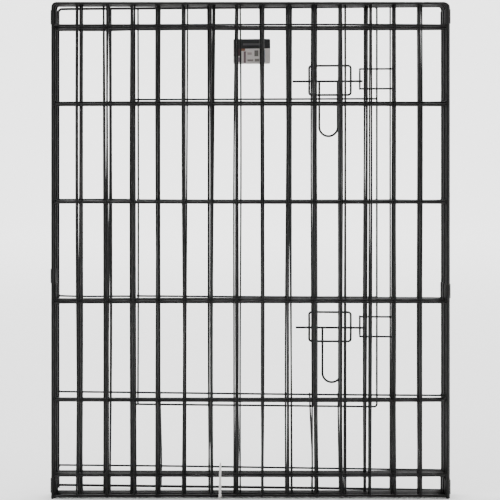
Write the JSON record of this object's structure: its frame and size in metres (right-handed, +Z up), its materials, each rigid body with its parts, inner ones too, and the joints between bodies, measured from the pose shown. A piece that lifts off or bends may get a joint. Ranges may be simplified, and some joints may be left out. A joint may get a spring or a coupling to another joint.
{
  "type": "folding wire exercise pen",
  "caption": "Folding pet pen of welded black wire panels joined by sheet-metal hinge clips, with a hinged door held by slide-bolt latches.",
  "frame": {"origin": "on the floor, under the middle of the folded stack's bounding box", "axes": "+Z up, X along the panels' width, +Y from the first panel to the doorway panel"},
  "size_m": [0.6168, 0.098, 0.762],
  "materials": {
    "coated_wire": "semi-gloss black electro-coat",
    "latch_wire": "semi-gloss black electro-coat",
    "clip_steel": "satin black coat on sheet steel",
    "card": "matt printed card",
    "tie_nylon": "translucent nylon"
  },
  "bodies": {
    "panel_1": {"panel_1_frame": "coated_wire", "panel_1_uprights": "coated_wire", "panel_1_rails": "coated_wire", "cable_tie": "tie_nylon"},
    "panel_2": {"panel_2_frame": "coated_wire", "panel_2_uprights": "coated_wire", "panel_2_rails": "coated_wire"},
    "panel_3": {"panel_3_frame": "coated_wire", "panel_3_uprights": "coated_wire", "panel_3_rails": "coated_wire"},
    "panel_4": {"panel_4_frame": "coated_wire", "panel_4_uprights": "coated_wire", "panel_4_rails": "coated_wire"},
    "panel_5": {"panel_5_frame": "coated_wire", "panel_5_uprights": "coated_wire", "panel_5_rails": "coated_wire"},
    "panel_6": {"panel_6_frame": "coated_wire", "panel_6_uprights": "coated_wire", "panel_6_rails": "coated_wire"},
    "panel_7": {"panel_7_frame": "coated_wire", "panel_7_uprights": "coated_wire", "panel_7_rails": "coated_wire"},
    "panel_8": {"panel_8_frame": "coated_wire", "panel_8_uprights": "coated_wire", "panel_8_rails": "coated_wire", "upper_latch_keeper": "latch_wire", "lower_latch_keeper": "latch_wire"},
    "hinge_1": {"hinge_1_clips": "clip_steel"},
    "hinge_2": {"hinge_2_clips": "clip_steel"},
    "hinge_3": {"hinge_3_clips": "clip_steel"},
    "hinge_4": {"hinge_4_clips": "clip_steel"},
    "hinge_5": {"hinge_5_clips": "clip_steel"},
    "hinge_6": {"hinge_6_clips": "clip_steel"},
    "hinge_7": {"hinge_7_clips": "clip_steel"},
    "door": {"door_frame": "coated_wire", "door_hinge_rail": "coated_wire", "door_rails": "coated_wire", "door_uprights": "coated_wire", "upper_latch_guide": "latch_wire", "lower_latch_guide": "latch_wire", "label_card": "card"},
    "upper_bolt": {"upper_latch_bolt": "latch_wire"},
    "upper_handle": {"upper_latch_handle": "latch_wire"},
    "lower_bolt": {"lower_latch_bolt": "latch_wire"},
    "lower_handle": {"lower_latch_handle": "latch_wire"}
  },
  "joints": [
    {"name": "hinge_1_clip_turn", "type": "hinge", "parent": "panel_1", "child": "hinge_1", "pos_m": [0.30306, -0.04343, 0], "axis": [0, 0, -1], "range_deg": [0, 70]},
    {"name": "panel_2_fold", "type": "hinge", "parent": "hinge_1", "child": "panel_2", "pos_m": [0.30545, -0.03685, 0], "axis": [0, 0, -1], "range_deg": [0, 110]},
    {"name": "hinge_2_clip_turn", "type": "hinge", "parent": "panel_2", "child": "hinge_2", "pos_m": [-0.30055, -0.03685, 0], "axis": [0, 0, 1], "range_deg": [0, 68]},
    {"name": "panel_3_fold", "type": "hinge", "parent": "hinge_2", "child": "panel_3", "pos_m": [-0.30317, -0.03036, 0], "axis": [0, 0, 1], "range_deg": [0, 112]},
    {"name": "hinge_3_clip_turn", "type": "hinge", "parent": "panel_3", "child": "hinge_3", "pos_m": [0.30283, -0.03036, 0], "axis": [0, 0, -1], "range_deg": [0, 109]},
    {"name": "panel_4_fold", "type": "hinge", "parent": "hinge_3", "child": "panel_4", "pos_m": [0.30055, -0.02374, 0], "axis": [0, 0, -1], "range_deg": [0, 71]},
    {"name": "hinge_4_clip_turn", "type": "hinge", "parent": "panel_4", "child": "hinge_4", "pos_m": [-0.30545, -0.02374, 0], "axis": [0, 0, 1], "range_deg": [0, 110]},
    {"name": "panel_5_fold", "type": "hinge", "parent": "hinge_4", "child": "panel_5", "pos_m": [-0.30306, -0.01716, 0], "axis": [0, 0, 1], "range_deg": [0, 70]},
    {"name": "hinge_5_clip_turn", "type": "hinge", "parent": "panel_5", "child": "hinge_5", "pos_m": [0.30294, -0.01716, 0], "axis": [0, 0, -1], "range_deg": [0, 73]},
    {"name": "panel_6_fold", "type": "hinge", "parent": "hinge_5", "child": "panel_6", "pos_m": [0.30499, -0.01047, 0], "axis": [0, 0, -1], "range_deg": [0, 107]},
    {"name": "hinge_6_clip_turn", "type": "hinge", "parent": "panel_6", "child": "hinge_6", "pos_m": [-0.30101, -0.01047, 0], "axis": [0, 0, 1], "range_deg": [0, 68]},
    {"name": "panel_7_fold", "type": "hinge", "parent": "hinge_6", "child": "panel_7", "pos_m": [-0.30363, -0.00398, 0], "axis": [0, 0, 1], "range_deg": [0, 112]},
    {"name": "hinge_7_clip_turn", "type": "hinge", "parent": "panel_7", "child": "hinge_7", "pos_m": [0.30237, -0.00398, 0], "axis": [0, 0, -1], "range_deg": [0, 110]},
    {"name": "panel_8_fold", "type": "hinge", "parent": "hinge_7", "child": "panel_8", "pos_m": [0.29997, 0.0026, 0], "axis": [0, 0, -1], "range_deg": [-4.2, 65.8]},
    {"name": "door_swing", "type": "hinge", "parent": "panel_8", "child": "door", "pos_m": [-0.18343, 0.0394, 0], "axis": [0, 0, 1], "range_deg": [0, 115]},
    {"name": "upper_bolt_slide", "type": "slide", "parent": "door", "child": "upper_bolt", "axis": [0.9973, -0.0732, 0], "range_m": [-0.0122, 0.0169]},
    {"name": "upper_handle_lift", "type": "hinge", "parent": "upper_bolt", "child": "upper_handle", "pos_m": [0.10904, 0.02685, 0.644], "axis": [0.9973, -0.0732, 0], "range_deg": [0, 120]},
    {"name": "lower_bolt_slide", "type": "slide", "parent": "door", "child": "lower_bolt", "axis": [0.9973, -0.0732, 0], "range_m": [-0.0172, 0.0119]},
    {"name": "lower_handle_lift", "type": "hinge", "parent": "lower_bolt", "child": "lower_handle", "pos_m": [0.11402, 0.02648, 0.256], "axis": [0.9973, -0.0732, 0], "range_deg": [0, 120]}
  ]
}
